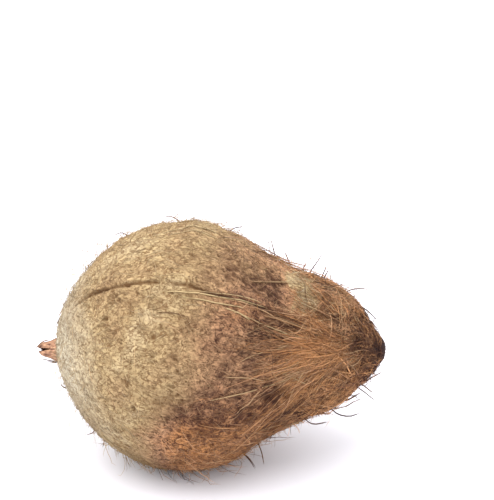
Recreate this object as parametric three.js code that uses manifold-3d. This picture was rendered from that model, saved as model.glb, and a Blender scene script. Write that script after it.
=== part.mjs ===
// A husked coconut lying on its side. The nut is wrapped in a mat of coir, the brown fibre of the husk. At the
// stalk end the long strands are left on and drawn together in a tuft round a blunt dark tip, and at the blossom
// end a torn stub of husk stands out. It all grew as one piece, so it is one solid.
//
// Millimetres, +Z up. The long axis runs along X with the tuft at +X. The origin is the middle of the small flat
// spot that the nut rests on, straight under its centre of weight.

import * as THREE from "three";
import { mergeVertices } from "three/addons/utils/BufferGeometryUtils.js";
import Module from "manifold-3d";

const wasm = await Module();
wasm.setup();

// Driving sizes. "Along" is the distance from the blossom end on the long axis, and angles go round that axis
// from the top of the nut towards -Y.
const AXIS_HEIGHT = 58.2; // of the long axis above the surface that the nut lies on
const WEIGHT_ALONG = 66.8; // where the centre of weight is
const OUTLINE = [
  [0, 0],
  [0.7, 10.5],
  [6, 23.4],
  [17.5, 39.5],
  [36.5, 53.4],
  [61, 59],
  [81, 54.6],
  [97, 45.3],
  [113, 35.9],
  [130, 29.3],
  [142.5, 19.2],
  [149.8, 10.9],
  [151.9, 7.7],
  [153.5, 6.6],
  [155.4, 4],
  [156.3, 0],
]; // half of the long section: along, radius
const ROWS = 46;
const COLUMNS = 60; // a multiple of three, for the seams

// The three seams of the husk, which wind a little on their way from the stub to the tuft
const SEAM_DEGREES = 36.5;
const SEAM_TWIST = 11.5;
const SEAM_ENDS = [8, 116];
const SEAM_RELIEF = 1.5;
const LOBE_SHARE = 0.01; // the nut bulges a little at each seam

// The underside is filled out a little towards the tuft, where the weight is
const BELLY = { along: 75, length: 12, swell: 1.3 };
// Both ends droop below the long axis
const TIP_DROOP = { from: 141, to: 152, depth: 3.1 };
const STUB_DROOP = 3.4;

// Relief of the coir: matted and lumpy on the nut, combed into ridges on the tuft, smooth on the dark tip
const LUMP_RELIEF = 0.5;
const LUMP_LENGTH = 17;
const FELT_RELIEF = 0.8;
const FELT_LENGTH = 5;
const RIDGE_RELIEF = 1.6;
const RIDGE_LENGTH = 26;
const TUFT_STARTS = 84;
const TUFT_FULL = 118;
const CAP_RADIUS = 7.4;
const COMBED_RADIUS = 16;
const PRESSED_RADIUS = 26; // the mat is pressed smooth round the resting spot

// The torn stub of husk: a hollow peg with a ragged rim
const STUB_OUTLINE = [
  [4, 0],
  [4, 6.6],
  [1, 6.1],
  [-2, 5],
  [-4.6, 4],
  [-6.6, 2.8],
  [-6.2, 1.8],
  [-3, 1.2],
  [-2.4, 0],
]; // along, radius
const STUB_SIDES = 9;
const STUB_RIM_TEAR = 2.6;

// Loose strands. Each is a three-sided spike bent along a curve, with its root sunk in the mat
const HAIR_RADIUS = 0.6;
const BUNDLE_RADIUS = 0.8; // of the combed strands of the tuft, which cling together
const STRAND_TAPER = 0.35;
const STRAND_STEPS = 5;
const ROOT_DEPTH = 2.2;
const MAT_STRANDS = 26;
const TUFT_STRANDS = 50;
const LEAST_HEIGHT = 1.2; // of any strand above the surface that the nut lies on

// The longest stray strands, each as a row of places: along, degrees, distance out from the long axis
const STRAYS = [
  [[119.2, -22, 32], [120.4, -22, 34.3], [123.5, -22, 38.7], [126.6, -22, 43.1]],
  [[116.4, -16, 32.6], [117, -16, 36.1], [118.6, -16, 39]],
  [[124.3, -27, 29.2], [125.8, -27, 32], [128.2, -27, 37.7]],
  [[126, -14, 28.6], [127.4, -14, 32.7], [128.8, -14, 35.4]],
  [[111.6, -26, 34.2], [109.7, -26, 40.4], [107.8, -26, 44.6]],
  [[103.6, -17, 39.6], [102.3, -17, 45.2], [101.2, -17, 49.4]],
  [[135.1, -22, 22.6], [139, -22, 25.2], [142.8, -22, 26.1], [146.6, -22, 27.4], [149.4, -22, 26.6]],
  [[141.3, -18, 19], [147.4, -18, 17.1], [149.9, -18, 15.4], [152.3, -18, 13.2]],
  [[145.1, -12, 14.5], [149.8, -12, 12.3], [152.7, -12, 8.5]],
  [[80, -22, 52.5], [84.7, -22, 55.4], [88, -22, 55.8]],
  [[59.2, -22, 56.7], [54.4, -22, 60.5], [50.1, -22, 61]],
  [[34.6, -16, 50], [29.8, -16, 52.8], [26, -16, 51.4]],
  [[6.5, -22, 20.9], [3.7, -22, 18.8], [-0.2, -22, 12.9]],
  [[4.6, -17, 16.2], [1, -17, 13], [-1.6, -17, 7.9]],
  [[139.4, 158, 19], [145.1, 158, 17.8], [150.6, 158, 13.2], [155.3, 158, 10.7]],
  [[137.5, 166, 20], [143.5, 166, 19.8], [149.8, 166, 15.3]],
  [[137.5, 152, 19.3], [141.5, 152, 20.5], [147, 152, 22.5], [150.9, 152, 24.7]],
  [[140.4, 164, 18.5], [145.1, 164, 19.2], [150.9, 164, 21.6]],
  [[118.4, 158, 29.6], [127.8, 158, 30.9], [136, 158, 30.4], [143.9, 158, 26], [147.8, 158, 24.7]],
  [[130, 163, 25.2], [136.2, 163, 27.6], [142.4, 163, 24.6], [145.2, 163, 22]],
  [[114.4, 150, 33.3], [120.4, 150, 38.2], [128.2, 150, 37.2]],
  [[127.1, 153, 28], [132.9, 153, 33.6], [138.4, 153, 34.7], [143.9, 153, 32.5]],
  [[94.1, 158, 44.8], [97, 158, 52.5], [97.9, 158, 57.7]],
  [[85.6, 158, 50], [91.3, 158, 55.3], [94.1, 158, 59.6]],
  [[23.6, 158, 42.5], [22.2, 158, 46.4], [21.3, 158, 49.7]],
  [[6.3, 158, 20.9], [3, 158, 21.4], [0.5, 158, 19.4]],
  [[19, 158, 38.7], [16.6, 158, 42.6], [13.7, 158, 43.5]],
  [[0.5, -10, 3], [-7.6, -14, 4.9], [-10.5, -20, 3.2], [-12.2, 40, 0.6]],
  [[1, 165, 4.2], [-2.8, 165, 4.6], [-8.9, 168, 4.2]],
];

const HUSK_COLOUR = 0xa47c55;

// Repeatable random numbers from 0 to 1
function dice(seed) {
  let state = seed;
  return () => {
    state = (state + 0x6d2b79f5) | 0;
    let mixed = Math.imul(state ^ (state >>> 15), 1 | state);
    mixed = (mixed + Math.imul(mixed ^ (mixed >>> 7), 61 | mixed)) ^ mixed;
    return ((mixed ^ (mixed >>> 14)) >>> 0) / 4294967296;
  };
}

// Smooth noise from -1 to 1 along each column of the grid, with a new value at every mark
function columnNoise(seed, columns, marks = 40) {
  const roll = dice(seed);
  const table = Array.from({ length: columns * marks }, () => 2 * roll() - 1);
  return (column, distance) => {
    const below = Math.floor(distance);
    const at = (mark) => table[column * marks + THREE.MathUtils.clamp(mark, 0, marks - 1)];
    return THREE.MathUtils.lerp(at(below), at(below + 1), THREE.MathUtils.smoothstep(distance - below, 0, 1));
  };
}

const LUMP_COLUMNS = COLUMNS / 3;
const lumpNoise = columnNoise(3, LUMP_COLUMNS);
const feltNoise = columnNoise(11, COLUMNS);
const ridgeNoise = columnNoise(23, COLUMNS);

function lumpAt(column, along) {
  const place = column / 3;
  const below = Math.floor(place);
  const side = (n) => lumpNoise(n % LUMP_COLUMNS, along / LUMP_LENGTH);
  return THREE.MathUtils.lerp(side(below), side(below + 1), THREE.MathUtils.smoothstep(place - below, 0, 1));
}

function droopAt(along) {
  const { from, to, depth } = TIP_DROOP;
  return depth * THREE.MathUtils.smoothstep(along, from, to);
}

// The columns of the grid wind with the seams. The first lies on a seam
function angleOf(column, along) {
  const wind = THREE.MathUtils.smoothstep(along, ...SEAM_ENDS);
  return (2 * Math.PI * column) / COLUMNS + THREE.MathUtils.degToRad(SEAM_DEGREES + SEAM_TWIST * wind);
}

// A place given by its distance along and out from the long axis, and its angle
function place(along, angle, out) {
  return new THREE.Vector3(
    along - WEIGHT_ALONG,
    -out * Math.sin(angle),
    AXIS_HEIGHT - droopAt(along) + out * Math.cos(angle),
  );
}

// How far out the plain husk is, without the relief of its coir
function huskRadius(radius, along, angle) {
  const seam = THREE.MathUtils.degToRad(SEAM_DEGREES + SEAM_TWIST / 2);
  const under = Math.max(0, -Math.cos(angle)) ** 8;
  const swell = BELLY.swell * Math.exp(-(((along - BELLY.along) / BELLY.length) ** 2)) * under;
  return radius * (1 + LOBE_SHARE * Math.cos(3 * (angle - seam))) + swell;
}

// How far the coir stands out at a column of the grid
function reliefAt(column, along, radius) {
  const angle = angleOf(column, along);
  const tuft = THREE.MathUtils.smoothstep(along, TUFT_STARTS, TUFT_FULL);
  const ridges = RIDGE_RELIEF * tuft * ridgeNoise(column, along / RIDGE_LENGTH);
  const felt = FELT_RELIEF * (1 - tuft) * feltNoise(column, along / FELT_LENGTH);
  const lumps = LUMP_RELIEF * lumpAt(column, along);
  const onSeam = column % (COLUMNS / 3) === 0 && along > SEAM_ENDS[0] && along < SEAM_ENDS[1];
  const seam = onSeam ? SEAM_RELIEF : 0;
  const pressed = place(along, angle, huskRadius(radius, along, angle)).length() / PRESSED_RADIUS;
  const combed = THREE.MathUtils.smoothstep(radius, CAP_RADIUS, COMBED_RADIUS);
  return (ridges + felt + lumps + seam) * combed * THREE.MathUtils.smoothstep(pressed, 0.6, 1);
}

const outline = new THREE.SplineCurve(OUTLINE.map(([along, radius]) => new THREE.Vector2(radius, along)));
const outlineSteps = outline.getSpacedPoints(400);

// The outline's radius at a distance along the axis
function radiusAt(along) {
  const after = outlineSteps.findIndex((step) => step.y >= along);
  if (after < 1) return 0;
  const [low, high] = [outlineSteps[after - 1], outlineSteps[after]];
  return THREE.MathUtils.mapLinear(along, low.y, high.y, low.x, high.x);
}

function solidFrom(geometry) {
  const bare = geometry.clone();
  bare.deleteAttribute("normal");
  bare.deleteAttribute("uv");
  const merged = mergeVertices(bare, 1e-4);
  return new wasm.Manifold(
    new wasm.Mesh({
      numProp: 3,
      vertProperties: merged.attributes.position.array,
      triVerts: new Uint32Array(merged.index.array),
    }),
  );
}

function geometryFrom(solid) {
  const { vertProperties, triVerts } = solid.getMesh();
  return new THREE.BufferGeometry()
    .setAttribute("position", new THREE.BufferAttribute(vertProperties, 3))
    .setIndex(new THREE.BufferAttribute(triVerts, 1));
}

// The nut and its tuft: a lathed outline whose points are then set out by the husk's form and relief
function husk() {
  const steps = outline.getSpacedPoints(ROWS);
  steps[0].x = 0;
  steps[ROWS].x = 0;
  const geometry = new THREE.LatheGeometry(steps, COLUMNS);
  const position = geometry.attributes.position;
  for (let i = 0; i < position.count; i++) {
    const column = Math.floor(i / (ROWS + 1)) % COLUMNS;
    const { x: radius, y: along } = steps[i % (ROWS + 1)];
    const angle = angleOf(column, along);
    const out = radius > 0 ? huskRadius(radius, along, angle) + reliefAt(column, along, radius) : 0;
    const placed = place(along, angle, out);
    position.setXYZ(i, placed.x, placed.y, placed.z);
  }
  return solidFrom(geometry);
}

// The torn stub: every side of its rim ends at a different length
function stub() {
  const steps = STUB_OUTLINE.map(([along, radius]) => new THREE.Vector2(radius, -along));
  const geometry = new THREE.LatheGeometry(steps, STUB_SIDES);
  const position = geometry.attributes.position;
  const roll = dice(31);
  const tears = Array.from({ length: STUB_SIDES }, () => STUB_RIM_TEAR * (2 * roll() - 1));
  for (let i = 0; i < position.count; i++) {
    const side = Math.floor(i / steps.length) % STUB_SIDES;
    const { x: radius, y: reach } = steps[i % steps.length];
    const tear = reach > 6 ? tears[side] : 0;
    const placed = place(-reach - tear, (-2 * Math.PI * side) / STUB_SIDES, radius);
    position.setXYZ(i, placed.x, placed.y, placed.z - STUB_DROOP);
  }
  return solidFrom(geometry);
}

// A spike with its root at the first point, bent along a curve
function spike(points, radius = HAIR_RADIUS) {
  const curve = new THREE.CatmullRomCurve3(points);
  const geometry = new THREE.ConeGeometry(radius, 1, 3, STRAND_STEPS);
  const position = geometry.attributes.position;
  const frames = curve.computeFrenetFrames(STRAND_STEPS);
  for (let i = 0; i < position.count; i++) {
    const share = position.getY(i) + 0.5;
    const step = Math.round(share * STRAND_STEPS);
    const slim = share < 1 ? (1 - STRAND_TAPER * share) / (1 - share) : 1;
    const placed = curve
      .getPointAt(share)
      .addScaledVector(frames.normals[step], position.getX(i) * slim)
      .addScaledVector(frames.binormals[step], -position.getZ(i) * slim);
    position.setXYZ(i, placed.x, placed.y, placed.z);
  }
  return solidFrom(geometry);
}

function stray(places) {
  return spike(places.map(([along, degrees, out]) => place(along, THREE.MathUtils.degToRad(degrees), out)));
}

// A strand that leaves the husk at a shallow angle, then rises and turns as it runs towards the tip
function strand(along, angle, { length, rise, turn, radius }) {
  const points = [0, 0.3, 0.65, 1].map((share) => {
    const here = along + length * share;
    const height = THREE.MathUtils.lerp(-ROOT_DEPTH, rise, Math.sqrt(share));
    const there = angle + turn * share ** 1.5;
    const point = place(here, there, huskRadius(radiusAt(here), here, there) + height);
    point.z = Math.max(point.z, LEAST_HEIGHT);
    return point;
  });
  return spike(points, radius);
}

// Strands are spread evenly by the golden angle, which leaves no side bare
const GOLDEN_ANGLE = Math.PI * (3 - Math.sqrt(5));
function looseStrands(seed, count, [from, to], sizes) {
  const roll = dice(seed);
  return Array.from({ length: count }, (_, i) => {
    const along = THREE.MathUtils.lerp(from, to, (i + 0.5) / count);
    return strand(along, i * GOLDEN_ANGLE + 0.3 * roll(), sizes(roll));
  });
}

const matSizes = (roll) => ({
  length: 14 + 12 * roll(),
  rise: 0.9 + 1.6 * roll(),
  turn: 0.5 * (roll() - 0.5),
  radius: HAIR_RADIUS,
});
const tuftSizes = (roll) => ({
  length: 24 + 10 * roll(),
  rise: 0.8 + 3 * roll() ** 3,
  turn: 0.8 * (roll() - 0.5),
  radius: BUNDLE_RADIUS,
});

// The flat spot that the nut rests on
function restingCut() {
  const slab = new THREE.BoxGeometry(200, 200, 20);
  slab.translate(0, 0, -10);
  return solidFrom(slab);
}

let whole = husk();
const pieces = [
  stub(),
  ...STRAYS.map(stray),
  ...looseStrands(5, MAT_STRANDS, [10, 86], matSizes),
  ...looseStrands(9, TUFT_STRANDS, [80, 122], tuftSizes),
];
for (const piece of pieces) whole = whole.add(piece);
whole = whole.subtract(restingCut());

const coconut = new THREE.Mesh(
  geometryFrom(whole),
  new THREE.MeshStandardMaterial({ color: HUSK_COLOUR, roughness: 0.9, metalness: 0 }),
);
coconut.name = "coconut";

const part = new THREE.Group();
part.add(coconut);
export default part;
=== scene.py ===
import math

import bpy
import numpy as np
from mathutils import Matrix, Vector, noise


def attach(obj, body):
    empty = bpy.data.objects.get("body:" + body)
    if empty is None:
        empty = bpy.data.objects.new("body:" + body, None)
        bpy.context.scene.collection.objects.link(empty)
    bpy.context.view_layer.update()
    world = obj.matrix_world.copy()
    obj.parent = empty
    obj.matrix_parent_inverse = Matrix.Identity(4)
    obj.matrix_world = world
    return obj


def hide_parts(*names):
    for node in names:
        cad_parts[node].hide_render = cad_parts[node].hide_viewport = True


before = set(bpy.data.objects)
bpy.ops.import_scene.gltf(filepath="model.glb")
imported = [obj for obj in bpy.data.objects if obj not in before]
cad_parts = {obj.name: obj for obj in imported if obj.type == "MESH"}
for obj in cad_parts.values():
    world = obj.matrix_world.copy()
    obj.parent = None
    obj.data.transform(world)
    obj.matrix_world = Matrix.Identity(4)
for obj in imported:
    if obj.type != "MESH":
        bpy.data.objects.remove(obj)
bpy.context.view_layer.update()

# The camera
# The nut fills most of the width and sits low in the picture. It is seen from a little above, square to its
# long axis, through a lens long enough to keep the stub and the tuft in proportion.
VIEW_DEGREES = 22
AIM = Vector((0.0231, 0, 0.0582))
NUT_DISTANCE = 0.566
NUT_BELOW_CENTRE_DEGREES = 4.5

camera = bpy.data.objects.new("camera", bpy.data.cameras.new("camera"))
bpy.context.collection.objects.link(camera)
camera.data.lens = 85
camera.data.sensor_width = 36
rise = math.radians(VIEW_DEGREES)
camera.location = AIM + NUT_DISTANCE * Vector((0, -math.cos(rise), math.sin(rise)))
camera.rotation_euler = (math.radians(90 - VIEW_DEGREES + NUT_BELOW_CENTRE_DEGREES), 0, 0)
bpy.context.scene.camera = camera

# The mat of coir
# The husk's brown fibre grows round the nut in a close felt. Husking tears most of it off and leaves this
# mat, lumpy and pitted, with three low seams, drawn out at the stalk end into a tuft with a blunt dark tip.
MM = 0.001
AXIS_HEIGHT = 58.2  # the long axis above the table
WEIGHT_ALONG = 66.8  # the centre of weight, straight above the frame's origin
OUTLINE = [
    (0, 0), (0.7, 10.5), (6, 23.4), (17.5, 39.5), (36.5, 53.4), (61, 59), (81, 54.6), (97, 45.3),
    (113, 35.9), (130, 29.3), (142.5, 19.2), (149.8, 10.9), (151.9, 7.7), (153.5, 6.6), (155.4, 4),
    (156.3, 0),
]  # distance along from the blossom end, radius
SEAM_DEGREES = 36.5  # where the first seam starts, round from the top
SEAM_TWIST = 11.5  # how many degrees the seams wind on their way
SEAM_ENDS = (8, 116)
SEAM_RELIEF = 1.5
LOBE_SHARE = 0.01  # how much the nut bulges at each seam
BELLY_ALONG = 75  # where the underside is filled out a little
BELLY_LENGTH = 12
BELLY_SWELL = 1.3
TIP_DROOP = 3.1
TIP_DROOPS = (141, 152)
CAP_RADIUS = 7.4
TUFT_STARTS = (84, 118)
COMBED_RADIUS = 16
RIDGE_RELIEF = 1.6  # of the combed tuft
RIDGE_LENGTH = 26
FELT_RELIEF = 0.8  # of the matted nut
FELT_LENGTH = 5
LUMP_RELIEF = 0.5
LUMP_LENGTH = 17
COLUMNS = 60
MAT_ROWS = 236
MAT_COLUMNS = 420
PRESSED_RADIUS = 26  # of the coir pressed flat under the nut


def dice(seed):
    """Repeatable random numbers from 0 to 1, the ones that set the nut's own lumps, ridges and strands."""
    top = 0xFFFFFFFF
    state = seed
    while True:
        state = (state + 0x6D2B79F5) & top
        mixed = ((state ^ (state >> 15)) * (1 | state)) & top
        mixed = ((mixed + (((mixed ^ (mixed >> 7)) * (61 | mixed)) & top)) & top) ^ mixed
        yield (mixed ^ (mixed >> 14)) / 4294967296


def smoothstep(value, low, high):
    share = np.clip((value - low) / (high - low), 0, 1)
    return share * share * (3 - 2 * share)


def column_noise(seed, columns, column, distance, marks=40):
    """Smooth noise from -1 to 1 that has its own run of values along each column."""
    roll = dice(seed)
    table = np.array([2 * next(roll) - 1 for _ in range(columns * marks)]).reshape(columns, marks)
    near = np.floor(column).astype(int)
    across = column - near
    below = np.floor(distance).astype(int)
    share = smoothstep(distance - below, 0, 1)
    low, high = np.clip(below, 0, marks - 1), np.clip(below + 1, 0, marks - 1)
    sides = []
    for side in (near % columns, (near + 1) % columns):
        sides.append(table[side, low] * (1 - share) + table[side, high] * share)
    return sides[0] * (1 - across) + sides[1] * across


def bent(t, start, leave, end, arrive):
    """A cubic curve from start to end that leaves and arrives with these slopes."""
    return (
        (2 * t**3 - 3 * t**2 + 1) * start
        + (t**3 - 2 * t**2 + t) * leave
        + (3 * t**2 - 2 * t**3) * end
        + (t**3 - t**2) * arrive
    )


def outline_curve():
    """A smooth curve through the outline's points: its length so far, the distance along, and the radius."""
    points = np.array(OUTLINE, float)
    places = []
    last = len(points) - 1
    for i in range(last):
        before, start, end, after = points[max(i - 1, 0)], points[i], points[i + 1], points[min(i + 2, last)]
        for t in np.linspace(0, 1, 60, endpoint=False):
            places.append(bent(t, start, (end - before) / 2, end, (after - start) / 2))
    places.append(points[-1])
    places = np.array(places)
    reach = np.concatenate([[0], np.cumsum(np.linalg.norm(np.diff(places, axis=0), axis=1))])
    return reach, places[:, 0], np.maximum(places[:, 1], 0)


REACH, ALONG, RADIUS = outline_curve()
LENGTH = REACH[-1]


def angle_of(turn, along):
    """Angle round the long axis from the top. A turn from 0 to 1 starts at a seam and winds with it."""
    return 2 * math.pi * turn + np.radians(SEAM_DEGREES + SEAM_TWIST * smoothstep(along, *SEAM_ENDS))


def turn_of(degrees, along):
    """The turn that has this angle, in degrees from the top, at this distance along."""
    return (degrees - SEAM_DEGREES - SEAM_TWIST * smoothstep(along, *SEAM_ENDS)) / 360


def place(along, angle, out):
    """The point at this distance along, angle round and distance out from the long axis."""
    height = AXIS_HEIGHT - TIP_DROOP * smoothstep(along, *TIP_DROOPS) + out * np.cos(angle)
    return np.stack([along - WEIGHT_ALONG, -out * np.sin(angle), height], axis=-1)


def husk_out(radius, along, angle):
    """How far out the plain husk is, without the relief of its coir."""
    under = np.maximum(0, -np.cos(angle)) ** 8
    swell = BELLY_SWELL * np.exp(-(((along - BELLY_ALONG) / BELLY_LENGTH) ** 2)) * under
    seam = math.radians(SEAM_DEGREES + SEAM_TWIST / 2)
    return radius * (1 + LOBE_SHARE * np.cos(3 * (angle - seam))) + swell


def coarse_relief(turn, along, radius, angle):
    """The lumps, felt, ridges and seams that the nut has at arm's length."""
    column = turn * COLUMNS
    tuft = smoothstep(along, *TUFT_STARTS)
    ridges = RIDGE_RELIEF * tuft * column_noise(23, COLUMNS, column, along / RIDGE_LENGTH)
    felt = FELT_RELIEF * (1 - tuft) * column_noise(11, COLUMNS, column, along / FELT_LENGTH)
    lumps = LUMP_RELIEF * column_noise(3, COLUMNS // 3, column / 3, along / LUMP_LENGTH)
    off_seam = np.abs((turn * 3 + 0.5) % 1 - 0.5) * COLUMNS / 3
    seam = SEAM_RELIEF * np.maximum(0, 1 - off_seam) * (along > SEAM_ENDS[0]) * (along < SEAM_ENDS[1])
    smooth = place(along, angle, husk_out(radius, along, angle))
    pressed = np.linalg.norm(smooth, axis=-1) / PRESSED_RADIUS
    off_cap = smoothstep(radius, CAP_RADIUS, COMBED_RADIUS)
    return (ridges + felt + lumps + seam) * off_cap * smoothstep(pressed, 0.6, 1)


def mat_grid():
    """Points of the mat's surface, row by row from the blossom end to the tip."""
    reach = LENGTH * np.linspace(0, 1, MAT_ROWS + 1)[:, None]
    turn = np.arange(MAT_COLUMNS)[None, :] / MAT_COLUMNS
    along = np.interp(reach, REACH, ALONG) + 0 * turn
    radius = np.interp(reach, REACH, RADIUS) + 0 * turn
    turn = turn + 0 * along
    angle = angle_of(turn, along)
    out = husk_out(radius, along, angle) + coarse_relief(turn, along, radius, angle)
    out *= radius > 0.01
    return place(along, angle, out), turn, along, radius, angle


def unit(vectors):
    return vectors / np.maximum(np.linalg.norm(vectors, axis=-1, keepdims=True), 1e-9)


def grid_normals(points):
    """Outward direction at each point of a grid whose columns meet."""
    across = np.roll(points, -1, axis=1) - np.roll(points, 1, axis=1)
    down = np.gradient(points, axis=0)
    normals = unit(np.cross(across, down))
    normals[0], normals[-1] = (-1, 0, 0), (1, 0, 0)
    return normals


FORM, FORM_TURN, FORM_ALONG, FORM_RADIUS, FORM_ANGLE = mat_grid()
FORM_NORMALS = grid_normals(FORM)


def grain(size, octaves, offset=0.0, drawn_out=1.7):
    """Noise of about -1 to 1 over the mat, in lumps of this size in millimetres, drawn out along the nut."""
    shift = Vector((offset, 0, 0))
    spots = (FORM * (1.15 / drawn_out, 1.15, 1.15) / size).reshape(-1, 3)
    values = [noise.fractal(Vector(spot) + shift, 0.7, 2.0, octaves) for spot in spots]
    return np.array(values).reshape(FORM_ALONG.shape)


WHORL = (128, 73)  # where the strands of one side meet, just short of the tip: along, degrees
GLOW = (119, 76)  # the middle of the pale gold spot just before it
GLOW_SIZE = (13, 15)

# Dark curly patches, with a strength above 0, and pale bare pith, with one below 0: distance along, degrees
# from the top, half length and half width in millimetres, and strength
PATCHES = [
    (93, 30, 15, 13, 0.95),
    (78, 29, 18, 15, 0.42),
    (74, 45, 16, 8, 0.35),
    (103.5, 34, 7, 11, 0.7),
    (94, 60, 8, 7, 0.4),
    (74, 61, 13, 8, 0.15),
    (103, 58, 12, 7, 0.6),
    (81, 92, 11, 10, 0.75),
    (86, 77, 13, 13, 0.85),
    (50, 54, 18, 9, 0.35),
    (95, 102, 12, 10, 1.3),
    (82, 108, 18, 10, 1.0),
    (62, 98, 14, 9, 0.9),
    (55, 122, 24, 11, -0.5),
    (103, 134, 16, 15, 0.6),
    (112, 82, 13, 12, -0.38),
    (137, 40, 9, 9, 0.7),
    (90, -4, 15, 10, 0.35),
    (104, -60, 8, 12, 0.9),
    (90, -130, 12, 14, 0.8),
    (70, 175, 16, 10, 0.6),
    (114.5, 25, 10, 16, -0.9),
    (115, 97, 10, 9, -0.35),
    (22, 100, 16, 22, -0.35),
    (109, -95, 7, 10, -0.8),
    (56, 14, 18, 7, -0.15),
    (112, 160, 5, 7, -0.8),
    (145, 76, 8, 9, 1.2),
    (147, -20, 7, 10, 0.6),
]


def patches_at(along, angle):
    """How dark the coir is, above 0, or how bare and pale, below 0."""
    total = np.zeros(np.shape(along))
    for centre, degrees, half_length, half_width, strength in PATCHES:
        round_it = (np.degrees(angle) - degrees + 180) % 360 - 180
        across = np.radians(round_it) * np.interp(centre, ALONG, RADIUS) / half_width
        off_centre = np.hypot((along - centre) / half_length, across)
        total = total + strength * (1 - smoothstep(off_centre, 0.55, 1.25))
    return total


def bareness_at(along, angle):
    """How bare the pith is, from 0 to 1, with a wavering edge."""
    patches = patches_at(along + 1.8 * np.sin(11 * angle + 0.5 * along), angle + 0.07 * np.sin(1.3 * along))
    return np.clip(-2.2 * patches - 1.1, 0, 1)


def whorl_at(along, angle):
    """1 in the pale gold spot just before the place where the strands of one side meet."""
    off_along, off_round = (along - GLOW[0]) / GLOW_SIZE[0], (np.degrees(angle) - GLOW[1]) / GLOW_SIZE[1]
    return np.exp(-(off_along**2) - off_round**2)


def warmth_at(along, angle):
    """The coir's hue: 0 cream, 0.25 yellow tan, 0.5 red-brown, 0.75 the tuft's gold-brown, 1 the dark tip."""
    degrees = np.abs((np.degrees(angle) + 180) % 360 - 180)
    browned = np.interp(degrees, [0, 20, 45, 90, 115, 150, 180], [88, 78, 73, 65, 45, 50, 60])
    cream = smoothstep(along, 0, 26 + 14 * smoothstep(degrees, 60, 110))
    tuft = smoothstep(along, 102, 115)
    brown = smoothstep(along - browned, -14, 14)
    golden = np.maximum(smoothstep(degrees, 90, 112), whorl_at(along, angle))
    hue = 0.25 * cream + 0.25 * brown + 0.25 * tuft * (0.1 + 0.9 * golden)
    redder = 0.1 * smoothstep(degrees, 80, 115) - 0.04 * (1 - smoothstep(degrees, 25, 50))
    hue = hue + (1 - tuft) * brown * redder
    return hue * (1 - 0.66 * bareness_at(along, angle)) + 0.25 * smoothstep(along, 136, 148)


LARGE_GRAIN = grain(22, 3, drawn_out=1)
SMALL_GRAIN = grain(2.2, 3, 7.0)
CURLS = grain(2.9, 3, 31.0)
FURROWS = column_noise(41, 210, FORM_TURN * 210, FORM_ALONG / 9)
COMBED = smoothstep(FORM_ALONG, 104, 119)
# Pits sunk into the mat, which darkness() also paints dark as the shade in them.
PITTED = smoothstep(grain(2.1, 2, 19.0) + 0.2 * LARGE_GRAIN, 0.5, 0.68)
PITTED = PITTED * (1 - smoothstep(FORM_ALONG, 100, 118))

# Small holes in the felt, sunk into the mat and painted dark as their shade: distance along, degrees from the
# top, radius in millimetres
HOLES = [
    (27.6, 55, 1.3), (26.8, 58.5, 1.0), (49.4, 65.5, 1.6), (37.4, 87, 1.5), (49.6, 32, 1.7),
    (33.8, 47, 1.2), (40, 100, 1.2), (60, 80, 1.1), (20, 20, 1.2), (44, -40, 1.6), (62, -95, 1.4),
    (30, 150, 1.5), (52, -150, 1.5),
]


def holes():
    """1 in the middle of each small hole."""
    depth = np.zeros(FORM_ALONG.shape)
    for along, degrees, size in HOLES:
        middle = place(along, math.radians(degrees), np.interp(along, ALONG, RADIUS))
        off_middle = np.linalg.norm(FORM - middle, axis=-1)
        depth = np.maximum(depth, 1 - smoothstep(off_middle, 0.4 * size, 1.4 * size))
    return depth


SEAMS_APART = 120  # degrees
CREASE_BELOW = 1.6  # degrees from the seam


def seam_line(width):
    """1 along the crease below each seam, wavering and broken like a torn edge. It sinks the mat there and is
    painted dark as the crease's shade.
    """
    waver = 0.9 * column_noise(77, 3, np.zeros(FORM_ALONG.shape), FORM_ALONG / 9)
    broken = smoothstep(column_noise(78, 3, np.floor(FORM_TURN * 3 + 0.5), FORM_ALONG / 5), -0.9, 0.1)
    off = ((FORM_TURN * 3 + 0.5) % 1 - 0.5) * SEAMS_APART - CREASE_BELOW + waver * 0.8
    ends = smoothstep(FORM_ALONG, 9, 16) * (1 - smoothstep(FORM_ALONG, 92, 108))
    return np.exp(-((off / width) ** 2)) * ends * (0.25 + 0.75 * broken)


def fine_relief():
    """Matted fibre: small pits and tufts on the nut, narrow furrows on the tuft, little on the cap."""
    relief = 0.45 * SMALL_GRAIN * (1 - 0.6 * COMBED) - 0.8 * PITTED + 0.55 * FURROWS * COMBED
    patches = np.clip(patches_at(FORM_ALONG, FORM_ANGLE), -0.5, 1)
    relief = relief - 1.8 * seam_line(0.7) - 1.6 * holes() - 0.5 * patches
    relief = relief + 0.8 * CURLS * np.maximum(patches, 0)
    off_cap = (0.3 + 0.7 * smoothstep(FORM_RADIUS, 6.5, 12)) * smoothstep(FORM_RADIUS, 0.5, 3)
    off_flat = smoothstep(np.linalg.norm(FORM, axis=-1) / PRESSED_RADIUS, 0.45, 1)
    return relief * off_cap * off_flat


MAT = FORM + FORM_NORMALS * fine_relief()[..., None]
MAT[..., 2] = np.maximum(MAT[..., 2], 0)


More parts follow.
